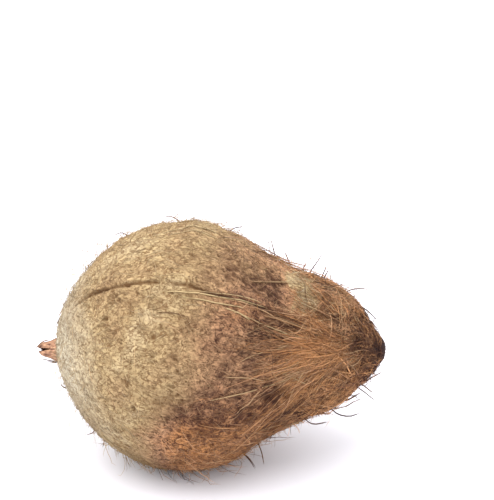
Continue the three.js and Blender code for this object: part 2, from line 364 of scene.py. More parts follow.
def darkness():
    """How dark the mat is: above 0 in dark patches and at the tip, and as painted shade in pits, seam
    creases, holes and between curls, whose tops are painted lighter; below 0 on bare pith.
    """
    blotches = patches_at(FORM_ALONG + 3 * LARGE_GRAIN, FORM_ANGLE + 0.1 * SMALL_GRAIN)
    # Painted shade in the pits, added to the coir's dark patches and large blotches.
    dark = np.minimum(blotches, 1.25) * (1 + 0.7 * SMALL_GRAIN) + 0.4 * LARGE_GRAIN + PITTED
    # Painted light and shade in the dark patches: the raised curls lighter, the hollows between them darker.
    dark = dark - 1.3 * CURLS * np.clip(blotches, 0, 1)
    dark = np.maximum(dark, -0.4) - 0.7 * whorl_at(FORM_ALONG, FORM_ANGLE)
    tip = 0.5 * smoothstep(FORM_ALONG, 137, 147) + 1.1 * smoothstep(FORM_ALONG, 146, 153)
    # Painted shade: the seam creases and the small holes are darkened as if shade fell in them.
    return dark + 2.2 * seam_line(0.75) + 2 * holes() + tip


DARKNESS = darkness()
# Painted light and shade on the relief: the coir lighter on its raised grains and ridges, darker in the
# furrows.
RELIEF_SHADE = SMALL_GRAIN * (1 - COMBED) + 0.8 * FURROWS * COMBED


def mesh_piece(name, vertices, triangles, uvs=None, attributes=None):
    """A mesh object from arrays in millimetres. uvs are one pair for each corner of each face."""
    mesh = bpy.data.meshes.new(name)
    mesh.vertices.add(len(vertices))
    mesh.vertices.foreach_set("co", (vertices * MM).astype(np.float32).ravel())
    mesh.loops.add(triangles.size)
    mesh.loops.foreach_set("vertex_index", triangles.astype(np.int32).ravel())
    mesh.polygons.add(len(triangles))
    mesh.polygons.foreach_set("loop_start", np.arange(0, triangles.size, 3, dtype=np.int32))
    mesh.polygons.foreach_set("use_smooth", np.ones(len(triangles), bool))
    if uvs is not None:
        mesh.uv_layers.new(name="OFBake").uv.foreach_set("vector", uvs.astype(np.float32).ravel())
    for label, values in (attributes or {}).items():
        mesh.attributes.new(label, "FLOAT", "POINT").data.foreach_set("value", values.astype(np.float32))
    mesh.update()
    mesh.validate()
    piece = bpy.data.objects.new(name, mesh)
    bpy.context.collection.objects.link(piece)
    return piece


def in_a_row(grid):
    """The grid's values in one row, with one value for each of its two ends."""
    inner = grid[1:-1].reshape(-1, *grid.shape[2:])
    return np.concatenate([grid[0, :1], inner, grid[-1, :1]])


def grid_faces(grid):
    """Triangles between the rows of a grid whose columns meet. Each end closes on one point."""
    rows, columns = len(grid) - 2, len(grid[0])
    at = 1 + np.arange(rows * columns).reshape(rows, columns)
    right = np.roll(at, -1, axis=1)
    faces = [
        np.stack([at[:-1], right[:-1], right[1:]], -1).reshape(-1, 3),
        np.stack([at[:-1], right[1:], at[1:]], -1).reshape(-1, 3),
        np.stack([np.zeros(columns, int), right[0], at[0]], -1),
        np.stack([np.full(columns, rows * columns + 1), at[-1], right[-1]], -1),
    ]
    return np.vstack(faces)


def mat_piece():
    u = np.arange(MAT_COLUMNS) / MAT_COLUMNS
    v = np.linspace(0, 1, MAT_ROWS + 1)[1:-1]
    step = 1 / MAT_COLUMNS
    low, high = np.meshgrid(u, v[:-1]), np.meshgrid(u, v[1:])

    def corners(*pairs):
        return np.stack([np.stack(pair, -1) for pair in pairs], -2).reshape(-1, 3, 2)

    uvs = [
        corners((low[0], low[1]), (low[0] + step, low[1]), (high[0] + step, high[1])),
        corners((low[0], low[1]), (high[0] + step, high[1]), (high[0], high[1])),
        corners((u + step / 2, 0 * u), (u + step, 0 * u + v[0]), (u, 0 * u + v[0])),
        corners((u + step / 2, 0 * u + 1), (u, 0 * u + v[-1]), (u + step, 0 * u + v[-1])),
    ]
    warmth = np.clip(warmth_at(FORM_ALONG, FORM_ANGLE) + 0.07 * LARGE_GRAIN * (FORM_ALONG < 140), 0, 1)
    # The dark attribute holds the coir's dark patches and tip, and painted shade in creases, pits, holes and
    # furrows.
    attributes = {
        "warmth": warmth,
        "dark": DARKNESS - 0.5 * RELIEF_SHADE,
        "combed": COMBED,
        "cap": (1 - smoothstep(FORM_RADIUS + 2.2 * FURROWS + 1.5 * SMALL_GRAIN, 8, 13)) * (FORM_ALONG > 120),
    }
    attributes = {label: in_a_row(values) for label, values in attributes.items()}
    return mesh_piece("coir_mat", in_a_row(MAT), grid_faces(MAT), np.vstack(uvs), attributes)


coir_mat = mat_piece()


def linear(colour):
    """A hex colour, as seen on a screen, in the linear values that light adds up in."""
    parts = [int(colour[i : i + 2], 16) / 255 for i in (1, 3, 5)]
    return tuple(p / 12.92 if p <= 0.04045 else ((p + 0.055) / 1.055) ** 2.4 for p in parts) + (1,)


def add_node(material, kind, settings=None, links=None, output=0):
    """Adds a node, sets its properties and sockets, links other sockets into it, and gives one output."""
    node = material.node_tree.nodes.new("ShaderNode" + kind)
    for key, value in (settings or {}).items():
        if isinstance(key, str) and hasattr(node, key):
            setattr(node, key, value)
        else:
            node.inputs[key].default_value = value
    for key, source in (links or {}).items():
        material.node_tree.links.new(source, node.inputs[key])
    return node.outputs[output] if node.outputs else None


def new_material(name):
    material = bpy.data.materials.new(name)
    material.use_nodes = True
    material.node_tree.nodes.clear()
    return material


def per_size(*sizes):
    """The mapping scale that gives a pattern's marks these sizes in millimetres."""
    return tuple(1 / (size * MM) for size in sizes)


def set_stops(ramp, stops):
    """Gives a colour ramp's node these positions and colours."""
    elements = ramp.color_ramp.elements
    while len(elements) < len(stops):
        elements.new(0.5)
    for element, (position, colour) in zip(elements, stops):
        element.position = position
        element.color = linear(colour)


# Coir's hue runs from cream at the blossom end (0) through yellow tan (0.25), red-brown (0.5) and the tuft's
# gold-brown (0.62 to 0.75) to the dark tip (1). At each hue a fibre is between its pale and its deep tone.
COIR_TONES = [
    (0, "#b9ae97", "#75624a"),
    (0.25, "#b39c73", "#674a2c"),
    (0.5, "#b98b67", "#33170e"),
    (0.62, "#c08652", "#37160b"),
    (0.75, "#e0aa76", "#40200f"),
    (1, "#89553f", "#1a0b07"),
]  # hue, pale tone, deep tone
CAP_BROWN = "#26100a"
FELT_CURL = (1.6, 1.25, 1.25)  # along, across and up, four times a real fibre's width so that it shows
STREAK = (0.45, 6)  # width on the neck and length of a combed strand's streak
NECK_AROUND = 188
TEAR = (11.8, 6.7, 6.7)  # cells between the fine tears in the felt, painted dark as the shade in them


def coir_tones(material, hue):
    """The pale and the deep tone of coir of this hue."""
    tones = []
    for tone in (1, 2):
        tones.append(add_node(material, "ValToRGB", links={0: hue}))
        set_stops(tones[-1].node, [(row[0], row[tone]) for row in COIR_TONES])
    return tones


# Felted coir is dull plant fibre, torn and matted with brown pith rubbed in. It is rough all over, so the eye
# sees no gloss, but pale curls over dark gaps on the nut and fine streaks where the tuft is combed.
felted = new_material("felted coir")
place_on = add_node(felted, "TexCoord", output="Object")
map_uv = add_node(felted, "UVMap", {"uv_map": "OFBake"})
warmth, combed, dark, capped = [
    add_node(felted, "Attribute", {"attribute_name": label}, output="Fac")
    for label in ("warmth", "combed", "dark", "cap")
]
pale, deep = coir_tones(felted, warmth)
curl_place = add_node(felted, "Mapping", {"Scale": per_size(*FELT_CURL)}, {"Vector": place_on})
curl_noise = {"Scale": 1, "Detail": 4, "Roughness": 0.7, "Distortion": 0.8}
curls = add_node(felted, "TexNoise", curl_noise, {"Vector": curl_place})
streak_scale = (NECK_AROUND / STREAK[0], LENGTH / STREAK[1], 1)
streak_place = add_node(felted, "Mapping", {"Scale": streak_scale}, {"Vector": map_uv})
streak_noise = {"Scale": 1, "Detail": 4, "Roughness": 0.6}
streaks = add_node(felted, "TexNoise", streak_noise, {"Vector": streak_place})
tone = add_node(felted, "Mix", {"data_type": "FLOAT"}, {0: combed, 2: curls, 3: streaks})
# The redder the coir, the deeper the gaps between its curls, so full tone is reached later there.
full_at = add_node(felted, "Math", {"operation": "MULTIPLY_ADD", 1: 0.2, 2: 0.475}, {0: warmth})
tone_range = {"From Min": 0.35, "To Min": 0.04, "To Max": 0.76}
tone = add_node(felted, "MapRange", tone_range, {"Value": tone, "From Max": full_at})
# The dark attribute darkens the tone: dark patches and the tip, and painted shade in creases, pits, holes and
# furrows.
lighten = add_node(felted, "Math", {"operation": "MULTIPLY_ADD", 1: -0.5, 2: 1.0}, {0: dark})
tone = add_node(felted, "Math", {"operation": "MULTIPLY", "use_clamp": True}, {0: tone, 1: lighten})
# Painted shade: fine dark lines for the cracks between torn fibres in the felt.
tear_place = add_node(felted, "Mapping", {"Scale": per_size(*TEAR)}, {"Vector": place_on})
tear_noise = {"Scale": 1, "Detail": 2, "Roughness": 0.6, "Distortion": 1.2}
tears = add_node(felted, "TexNoise", tear_noise, {"Vector": tear_place})
off_tear = add_node(felted, "Math", {"operation": "SUBTRACT", 1: 0.5}, {0: tears})
off_tear = add_node(felted, "Math", {"operation": "ABSOLUTE"}, {0: off_tear})
tear_edge = {"From Min": 0.006, "From Max": 0.02, "To Min": 0.15, "To Max": 1}
untorn = add_node(felted, "MapRange", tear_edge, {"Value": off_tear})
tone = add_node(felted, "Math", {"operation": "MULTIPLY"}, {0: tone, 1: untorn})
mixed = add_node(felted, "Mix", {"data_type": "RGBA"}, {0: tone, 6: deep, 7: pale}, output=2)
cap_mix = {"data_type": "RGBA", 7: linear(CAP_BROWN)}
mixed = add_node(felted, "Mix", cap_mix, {0: capped, 6: mixed}, output=2)
bump = add_node(felted, "Bump", {"Strength": 0.7, "Distance": 0.0005}, {"Height": tone})
surface = {"Roughness": 0.8, "IOR": 1.5, "Specular IOR Level": 0.25}
shader = add_node(felted, "BsdfPrincipled", surface, {"Base Color": mixed, "Normal": bump})
add_node(felted, "OutputMaterial", links={0: shader})
coir_mat.data.materials.append(felted)
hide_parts("coconut")
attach(coir_mat, "root")

# The felt's own fibres
# Short curled fibres of coir that lie on the mat, torn ends and all, most of them along the nut. They hold by
# their own tangle. Each is 0.1 to 0.2 mm thick, as fine fibres of coir are.
FLOOR_GAP = 0.2  # between the lowest fibre and the table
ALONG_SHARE = 0.7  # of the felt's fibres, the share that lies along the nut


def on_mat(reach, turn, height):
    """Points at a height above the mat, for places given as a reach along the outline and a turn."""
    row = np.clip(reach / LENGTH, 0, 0.9999) * MAT_ROWS
    column = (turn % 1) * MAT_COLUMNS
    r, c = np.floor(row).astype(int), np.floor(column).astype(int) % MAT_COLUMNS
    fr, fc = (row - r)[..., None], (column - np.floor(column))[..., None]
    right = (c + 1) % MAT_COLUMNS

    def read(grid):
        near = grid[r, c] * (1 - fc) + grid[r, right] * fc
        far = grid[r + 1, c] * (1 - fc) + grid[r + 1, right] * fc
        return near * (1 - fr) + far * fr

    return read(MAT) + unit(read(FORM_NORMALS)) * height[..., None]


def fibre_arrays(spines, radii, tones, warmths):
    """Three-sided fibres, pointed at both ends, from spine points of shape (fibres, points, 3).

    Tones and warmths are one value for each fibre, in a column, or one for each point of each fibre.
    """
    count, points, _ = spines.shape
    rings = points - 2
    ahead = unit(spines[:, 2:] - spines[:, :-2])
    first = unit(np.cross(ahead, np.array([0.31, 0.52, 0.79])))
    second = np.cross(ahead, first)
    ring = []
    for side in range(3):
        angle = 2 * math.pi * side / 3
        offset = math.cos(angle) * first + math.sin(angle) * second
        ring.append(spines[:, 1:-1] + offset * radii[:, 1:-1, None])
    rings_at = np.stack(ring, axis=2).reshape(count, rings * 3, 3)
    vertices = np.concatenate([spines[:, :1], rings_at, spines[:, -1:]], axis=1)
    each = rings * 3 + 2
    one = []
    for side in range(3):
        after = (side + 1) % 3
        one.append((0, 1 + after, 1 + side))
        one.append((each - 1, each - 4 + side, each - 4 + after))
        for k in range(rings - 1):
            a, b = 1 + 3 * k + side, 1 + 3 * k + after
            one.append((a, b, b + 3))
            one.append((a, b + 3, a + 3))
    one = np.array(one)
    triangles = (one[None] + each * np.arange(count)[:, None, None]).reshape(-1, 3)
    at = np.concatenate([[0], np.repeat(np.arange(1, points - 1), 3), [points - 1]])
    across = np.concatenate([[0.5], np.tile([0, 0.5, 1], rings), [0.5]])
    u = np.broadcast_to(tones, (count, points))[:, at] + 0.012 * (across - 0.5)[None]
    v = np.broadcast_to(warmths, (count, points))[:, at] + 0.012 * (at / (points - 1) - 0.5)[None]
    uv = np.stack([0.02 + 0.96 * np.clip(u, 0, 1), 0.02 + 0.96 * np.clip(v, 0, 1)], -1)
    return vertices.reshape(-1, 3), triangles, uv[:, one].reshape(-1, 3, 2)


def spaced(low, high, share):
    """The value this share of the way from low to high."""
    return low + (high - low) * share


def taper(points, sharp=0.35):
    """Share of the full thickness at each spine point of a fibre."""
    t = np.linspace(0, 1, points)
    return np.minimum(1, np.minimum(t, 1 - t) / sharp) ** 0.7


# A loose coir fibre is a bare woody hair, smoother than the felt. It gives the eye a faint sheen and one
# tone, light or dark, that hardly changes from end to end, so that it stands out beside its neighbours.
loose_fibre = new_material("loose coir fibre")
tone_uv = add_node(loose_fibre, "UVMap", {"uv_map": "OFBake"})
tone_and_hue = add_node(loose_fibre, "SeparateXYZ", links={0: tone_uv}).node
tone, hue = tone_and_hue.outputs[0], tone_and_hue.outputs[1]
pale, deep = coir_tones(loose_fibre, hue)
mixed = add_node(loose_fibre, "Mix", {"data_type": "RGBA"}, {0: tone, 6: deep, 7: pale}, output=2)
surface = {"Roughness": 0.6, "IOR": 1.5, "Specular IOR Level": 0.25}
shader = add_node(loose_fibre, "BsdfPrincipled", surface, {"Base Color": mixed})
add_node(loose_fibre, "OutputMaterial", links={0: shader})


def fibre_piece(name, groups):
    """One mesh piece of many fibres. Each group is what fibre_arrays gives."""
    vertices, triangles, uvs, base = [], [], [], 0
    for group_vertices, group_triangles, group_uvs in groups:
        vertices.append(group_vertices)
        triangles.append(group_triangles + base)
        uvs.append(group_uvs)
        base += len(group_vertices)
    vertices = np.vstack(vertices)
    vertices[:, 2] = np.maximum(vertices[:, 2], FLOOR_GAP)
    piece = mesh_piece(name, vertices, np.vstack(triangles), np.vstack(uvs))
    piece.data.materials.append(loose_fibre)
    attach(piece, "root")
    return piece


def spread_reaches(random, count, low, high):
    """Reaches along the outline, spread so that every part of the surface gets its fair share."""
    reach = np.linspace(low, high, 600)
    weight = np.cumsum(np.interp(reach, REACH, RADIUS) + 1)
    return np.interp(random.random(count), weight / weight[-1], reach)


def tones_at(random, reach, turn, level, spread):
    """Tone and hue along each fibre from the mat that it lies on, darker where that is dark, including the
    mat's painted shade in creases and furrows.
    """
    count = len(reach)
    along = np.interp(reach, REACH, ALONG)
    row = np.clip(np.rint(reach / LENGTH * MAT_ROWS), 0, MAT_ROWS).astype(int)
    spot = row, np.rint(turn * MAT_COLUMNS).astype(int) % MAT_COLUMNS
    angle = angle_of(turn, along)
    hue = warmth_at(along, angle)
    contrast = 0.3 + 1.5 * hue + 0.6 * bareness_at(along, angle)
    own = random.choice([-spread, spread], (count, 1)) + random.normal(0, 0.1, (count, 1))
    tone = level + own * contrast - 0.38 * DARKNESS[spot] + 0.5 * RELIEF_SHADE[spot].mean(axis=1, keepdims=True)
    hue = hue + random.normal(0, 1, (count, 1)) * spaced(0.08, 0.13, smoothstep(along, 96, 112))
    return np.clip(tone, 0, 1), np.clip(hue, 0, 1)


def felt_fibres(seed, count, low, high, length, radius, height, points, level):
    """Short fibres laid on the mat from one reach to the other, with random bends."""
    random = np.random.default_rng(seed)
    reach0 = spread_reaches(random, count, low, high)
    turn0 = random.random(count)
    lined = random.random(count) < ALONG_SHARE
    heading = np.where(lined, random.normal(0, 0.35, count), random.uniform(-math.pi, math.pi, count))
    heading = heading + math.pi * (random.random(count) < 0.5)
    bend = random.normal(0, 0.35, count)
    step = spaced(*length, random.random(count)) / (points - 1)
    reach, turn = [reach0], [turn0]
    for k in range(1, points):
        direction = heading + bend * (k - (points - 1) / 2)
        around = 2 * math.pi * np.maximum(np.interp(reach[-1], REACH, RADIUS), 2)
        reach.append(np.clip(reach[-1] + step * np.cos(direction), 0.5, LENGTH - 0.5))
        turn.append(turn[-1] + step * np.sin(direction) / around)
    reach, turn = np.stack(reach, 1), np.stack(turn, 1)
    lift = spaced(*height, random.random((count, 1)) ** 2)
    h = -0.15 + lift * np.sin(np.linspace(0, math.pi, points))[None]
    h[:, -1] += 0.5 * lift[:, 0] * random.random(count)
    spines = on_mat(reach, turn, h)
    radii = spaced(*radius, random.random((count, 1)) ** 2) * taper(points)[None]
    return fibre_arrays(spines, radii, *tones_at(random, reach, turn, level, 0.2))


fibre_piece(
    "felt_fibres_short",
    [
        felt_fibres(
            52, 10300, 2, 174,
            length=(1.5, 5), radius=(0.05, 0.11), height=(0.05, 0.35), points=5, level=0.5,
        )
    ],
)
fibre_piece(
    "felt_fibres_long",
    [
        felt_fibres(
            51, 5600, 4, 174,
            length=(5, 16), radius=(0.05, 0.11), height=(0.15, 1.5), points=6, level=0.52,
        )
    ],
)

# The combed tuft
# The long strands that the husk was pulled off by. They run from the nut's shoulder over the neck and come
# together at the tip, most of them lying close, a few crossing the rest.


def off_bare(random, reach, turn):
    """Which strands are left: those on bare pith were torn off, and above the seam they are felted short."""
    most = np.zeros(len(reach))
    for k in range(reach.shape[1]):
        along = np.interp(reach[:, k], REACH, ALONG)
        most = np.maximum(most, bareness_at(along, angle_of(turn[:, k], along)))
    along = np.interp(reach[:, 0], REACH, ALONG)
    degrees = np.degrees(angle_of(turn[:, 0], along)) % 360
    felted = (along < 107) & (degrees < 46) & (random.random(len(reach)) < 0.85)
    return (random.random(len(reach)) > 0.6 * most) & ~felted


def combed_strands(
    seed, count, start, run, radius, height, points=8, level=0.5, spread=0.28, drift=0.03, hue=0.0
):
    """Strands that run along the tuft towards its tip, each drifting a little to one side."""
    random = np.random.default_rng(seed)
    reach0 = spread_reaches(random, count, *start)
    run_out = reach0 + spaced(*run, random.random(count))
    reach1 = np.minimum(run_out, LENGTH - spaced(4, 26, random.random(count) ** 0.6))
    turn0 = random.random(count)
    share = np.linspace(0, 1, points)[None]
    reach = reach0[:, None] + (reach1 - reach0)[:, None] * share
    wave = random.normal(0, 1, (count, 1)) * np.sin(share * math.pi * 2 + 6 * random.random((count, 1)))
    around = 2 * math.pi * np.maximum(np.interp(reach, REACH, RADIUS), 4)
    turn = turn0[:, None] + random.normal(0, drift, count)[:, None] * share + 0.6 * wave / around
    lift = spaced(*height, random.random((count, 1)) ** 2)
    h = -0.4 + (lift + 0.4) * np.sin(np.clip(share * 1.25, 0, 1) * math.pi / 2) ** 0.6
    spines = on_mat(reach, turn, h)
    radii = spaced(*radius, random.random((count, 1)) ** 3) * taper(points, 0.25)[None]
    tones, hues = tones_at(random, reach, turn, level, spread)
    kept = off_bare(random, reach, turn)
    return fibre_arrays(spines[kept], radii[kept], tones[kept], np.clip(hues + hue, 0, 1)[kept])


def gathered_strands(seed, count, level, spread):
    """Long strands from the shoulder of this side that draw together at the whorl."""
    points = 10
    random = np.random.default_rng(seed)
    along0 = spaced(72, 118, random.random(count) ** 0.6)
    side = np.clip(random.normal(0, 1, count), -2, 2)
    degrees0 = WHORL[1] + 34 * side
    along1 = WHORL[0] + random.normal(0, 5, count)
    degrees1 = WHORL[1] + 9 * side + random.normal(0, 5, count)
    share = np.linspace(0, 1, points)[None]
    bow = random.normal(0, 5, (count, 1)) * np.sin(math.pi * share)
    along = along0[:, None] + (along1 - along0)[:, None] * share
    degrees = degrees0[:, None] + (degrees1 - degrees0)[:, None] * share**1.2 + bow
    reach = np.interp(along, ALONG, REACH)
    lift = spaced(0.3, 2.2, random.random((count, 1)) ** 2)
    h = -0.4 + (lift + 0.4) * np.sin(np.clip(share * 1.3, 0, 1) * math.pi / 2) ** 0.7
    turn = turn_of(degrees, along)
    spines = on_mat(reach, turn, h)
    radii = spaced(0.08, 0.18, random.random((count, 1)) ** 2) * taper(points, 0.2)[None]
    tones, hues = tones_at(random, reach, turn, level, spread)
    kept = off_bare(random, reach, turn)
    hues = np.clip(0.3 + 0.5 * hues + random.normal(0, 0.08, (count, 1)), 0, 1)
    return fibre_arrays(spines[kept], radii[kept], tones[kept], hues[kept])


def ringing_strands(seed, count):
    """Strands that curl round the tuft just behind the cap."""
    points = 8
    random = np.random.default_rng(seed)
    along = spaced(131, 152, random.random(count))
    degrees0 = 360 * random.random(count)
    sweep = random.choice([-1, 1], count) * spaced(20, 75, random.random(count))
    share = np.linspace(0, 1, points)[None]
    along = along[:, None] + random.normal(0, 4, (count, 1)) * share + 1.5 * np.sin(math.pi * share)
    along = np.minimum(along, 152.5)
    degrees = degrees0[:, None] + sweep[:, None] * share
    h = -0.3 + spaced(0.5, 1.8, random.random((count, 1))) * np.sin(math.pi * share) ** 0.6
    reach, turn = np.interp(along, ALONG, REACH), turn_of(degrees, along)
    spines = on_mat(reach, turn, h)
    radii = spaced(0.06, 0.13, random.random((count, 1))) * taper(points, 0.25)[None]
    return fibre_arrays(spines, radii, *tones_at(random, reach, turn, 0.58, 0.24))


fibre_piece(
    "tuft_streaks",
    [
        combed_strands(
            63, 8200, start=(144, 196), run=(5, 15), radius=(0.08, 0.2), height=(0.1, 0.6),
            points=6, spread=0.27,
        )
    ],
)
fibre_piece(
    "tuft_strands",
    [
        combed_strands(
            61, 1500, start=(140, 190), run=(10, 34), radius=(0.08, 0.2), height=(0.3, 1.2),
            drift=0.06,
        ),
        gathered_strands(64, 580, level=0.72, spread=0.3),
        gathered_strands(65, 200, level=0.2, spread=0.15),
        combed_strands(
            68, 90, start=(116, 178), run=(22, 46), radius=(0.14, 0.24), height=(0.8, 2.4),
            points=10, level=0.9, spread=0.1, drift=0.12, hue=-0.1,
        ),
        ringing_strands(66, 620),
        felt_fibres(
            67, 150, 192, LENGTH - 1,
            length=(3, 9), radius=(0.06, 0.12), height=(0.1, 0.9), points=6, level=0.5,
        ),
    ],
)

# Single long strands
# The few coir strands that stand out on the nut: pale ones along the seam, gold ones over the tuft, and a few
# dark. Each clings to the mat along its run of places, given as distance along and degrees from the top.
LONG_STRANDS = [
    (0.42, 1, 0.24, [(52, 45.5), (60, 46.5), (69.6, 47), (80.4, 47.5), (91.2, 47), (100.8, 48.5)]),
    (0.36, 0.99, 0.24, [(59, 48), (69.8, 49.5), (79.2, 50.5), (90, 51)]),
    (0.24, 0.9, 0.26, [(62, 46), (75, 46), (88, 45.5), (98, 46)]),
    (0.36, 1, 0.24, [(80, 52), (83.5, 53.2), (87, 54.2), (92, 57)]),
    (0.2, 0.8, 0.3, [(48, 42.5), (47.8, 47), (46.6, 52.5)]),
    (0.34, 0.98, 0.4, [
        (74, 47.5), (87.2, 48), (96.4, 49.5), (105.4, 53.5), (113.4, 60), (121.6, 69.5), (129, 77),
    ]),
    (0.3, 0.95, 0.28, [(76.2, 51), (91.2, 55.5), (101, 59), (109, 62.5), (121.6, 70.5)]),
    (0.34, 1, 0.73, [(105, 57), (112, 61.5), (118, 66), (127.2, 74), (134.2, 85), (137, 101), (139, 128)]),
    (0.3, 0.96, 0.32, [(71.8, 94.5), (78, 94), (84.6, 94), (96, 94), (106.8, 92.5), (114, 89.5)]),
    (0.26, 0.85, 0.4, [(84.2, 106), (90, 101), (93, 97.5), (96, 94)]),
    (0.26, 0.85, 0.35, [(86.8, 77.5), (91, 75), (96.4, 73), (103, 71.8), (109, 71.5)]),
    (0.26, 0.85, 0.35, [(80.4, 84), (85, 84.5), (91.2, 86), (99.2, 90.5)]),
    (0.28, 0.85, 0.2, [(50.4, 7.5), (56, 6), (61.6, 5), (67, 4), (73, 3.5), (82.2, 6.5)]),
    (0.24, 0.8, 0.2, [(53, 12), (60, 10), (70, 9.5), (80, 12)]),
    (0.2, 0.05, 0.5, [(116.2, 17), (116.4, 25), (116.6, 32), (116.9, 39), (117.2, 45)]),
    (0.22, 0.1, 0.4, [(50.6, 55), (54, 55), (57.8, 55.5), (61.5, 56.3), (65.6, 57.5)]),
]  # radius, tone, hue, places


def laid_strand(radius, tone, hue, places):
    """A strand laid along its places, lifted a little off the mat."""
    points = 12
    given = np.array(places, float)
    share = np.linspace(0, 1, points)
    marks = np.linspace(0, 1, len(given))
    along = np.interp(share, marks, given[:, 0])
    degrees = np.interp(share, marks, given[:, 1])
    for line in (along, degrees):
        line[1:-1] = (line[:-2] + 2 * line[1:-1] + line[2:]) / 4
    h = -0.3 + (radius + 0.6) * np.sin(math.pi * share) ** 0.35
    spine = on_mat(np.interp(along, ALONG, REACH), turn_of(degrees, along), h)
    radii = radius * taper(points, 0.15)
    return fibre_arrays(spine[None], radii[None], tone, hue)


fibre_piece("long_strands", [laid_strand(*strand) for strand in LONG_STRANDS])

# The strands that stand off
# Bundles and stray hairs of coir sprung out of the mat, with their roots in it. The longest are the nut's own
# strands, each split here into the few fine fibres that cling together in it.
GOLDEN_ANGLE = math.pi * (3 - math.sqrt(5))
ROOT_DEPTH = 2.2
LEAST_HEIGHT = 1.2  # of the nut's own strands above the table
STRAYS = [
    [(119.2, -22, 32), (120.4, -22, 34.3), (123.5, -22, 38.7), (126.6, -22, 43.1)],
    [(116.4, -16, 32.6), (117, -16, 36.1), (118.6, -16, 39)],
    [(124.3, -27, 29.2), (125.8, -27, 32), (128.2, -27, 37.7)],
    [(126, -14, 28.6), (127.4, -14, 32.7), (128.8, -14, 35.4)],
    [(111.6, -26, 34.2), (109.7, -26, 40.4), (107.8, -26, 44.6)],
    [(103.6, -17, 39.6), (102.3, -17, 45.2), (101.2, -17, 49.4)],
    [(135.1, -22, 22.6), (139, -22, 25.2), (142.8, -22, 26.1), (146.6, -22, 27.4), (149.4, -22, 26.6)],
    [(141.3, -18, 19), (147.4, -18, 17.1), (149.9, -18, 15.4), (152.3, -18, 13.2)],
    [(145.1, -12, 14.5), (149.8, -12, 12.3), (152.7, -12, 8.5)],
    [(80, -22, 52.5), (84.7, -22, 55.4), (88, -22, 55.8)],
    [(59.2, -22, 56.7), (54.4, -22, 60.5), (50.1, -22, 61)],
    [(34.6, -16, 50), (29.8, -16, 52.8), (26, -16, 51.4)],
    [(6.5, -22, 20.9), (3.7, -22, 18.8), (-0.2, -22, 12.9)],
    [(4.6, -17, 16.2), (1, -17, 13), (-1.6, -17, 7.9)],
    [(139.4, 158, 19), (145.1, 158, 17.8), (150.6, 158, 13.2), (155.3, 158, 10.7)],
    [(137.5, 166, 20), (143.5, 166, 19.8), (149.8, 166, 15.3)],
    [(137.5, 152, 19.3), (141.5, 152, 20.5), (147, 152, 22.5), (150.9, 152, 24.7)],
    [(140.4, 164, 18.5), (145.1, 164, 19.2), (150.9, 164, 21.6)],
    [(118.4, 158, 29.6), (127.8, 158, 30.9), (136, 158, 30.4), (143.9, 158, 26), (147.8, 158, 24.7)],
    [(130, 163, 25.2), (136.2, 163, 27.6), (142.4, 163, 24.6), (145.2, 163, 22)],
    [(114.4, 150, 33.3), (120.4, 150, 38.2), (128.2, 150, 37.2)],
    [(127.1, 153, 28), (132.9, 153, 33.6), (138.4, 153, 34.7), (143.9, 153, 32.5)],
    [(94.1, 158, 44.8), (97, 158, 52.5), (97.9, 158, 57.7)],
    [(85.6, 158, 50), (91.3, 158, 55.3), (94.1, 158, 59.6)],
    [(23.6, 158, 42.5), (22.2, 158, 46.4), (21.3, 158, 49.7)],
    [(6.3, 158, 20.9), (3, 158, 21.4), (0.5, 158, 19.4)],
    [(19, 158, 38.7), (16.6, 158, 42.6), (13.7, 158, 43.5)],
    [(-4, -22, 1.6), (-7.4, -22, 0.7), (-10.2, 158, 1.6), (-12.2, 158, 4)],
    [(1, 158, 9), (-2, 158, 9), (-5, 158, 8.6), (-9.2, 158, 8)],
    [(2, 150, 9.6), (-1.5, 152, 9.4), (-4, 154, 9), (-6.4, 158, 8.9)],
]  # distance along, degrees, distance out from the long axis


def bent_through(points, count):
    """A smooth curve through the given points, as count points."""
    given = np.array(points, float)
    marks = np.concatenate([[0], np.cumsum(np.linalg.norm(np.diff(given, axis=0), axis=1))])
    slopes = np.gradient(given, marks, axis=0)
    shares = np.linspace(0, marks[-1], count)
    k = np.clip(np.searchsorted(marks, shares, side="right") - 1, 0, len(given) - 2)
    gap = (marks[k + 1] - marks[k])[:, None]
    t = (shares - marks[k])[:, None] / gap
    return bent(t, given[k], gap * slopes[k], given[k + 1], gap * slopes[k + 1])


def own_strand(roll, along, angle, mat):
    """One of the nut's own loose strands: root, two bends and end."""
    if mat:
        length, rise, turn = 14 + 12 * next(roll), 0.9 + 1.6 * next(roll), 0.5 * (next(roll) - 0.5)
    else:
        length, rise, turn = 24 + 10 * next(roll), 0.8 + 3 * next(roll) ** 3, 0.8 * (next(roll) - 0.5)
    points = []
    for share in (0, 0.3, 0.65, 1):
        here, there = along + length * share, angle + turn * share**1.5
        out = husk_out(np.interp(here, ALONG, RADIUS, right=0), here, there)
        out += -ROOT_DEPTH + (rise + ROOT_DEPTH) * math.sqrt(share)
        point = place(here, there, out)
        point[2] = max(point[2], LEAST_HEIGHT)
        points.append(point)
    return points


def own_strands(seed, count, first, last, mat):
    """The nut's own loose strands, spread evenly by the golden angle, on the mat or on the tuft."""
    roll = dice(seed)
    strands = []
    for i in range(count):
        along = first + (last - first) * (i + 0.5) / count
        angle = i * GOLDEN_ANGLE + 0.3 * next(roll)
        strands.append(own_strand(roll, along, angle, mat))
    return strands


def under(spines):
    """The reach and the turn of the mat under each point."""
    along = spines[..., 0] + WEIGHT_ALONG
    angle = np.arctan2(-spines[..., 1], spines[..., 2] - AXIS_HEIGHT)
    return np.interp(along, ALONG, REACH), turn_of(np.degrees(angle), along)


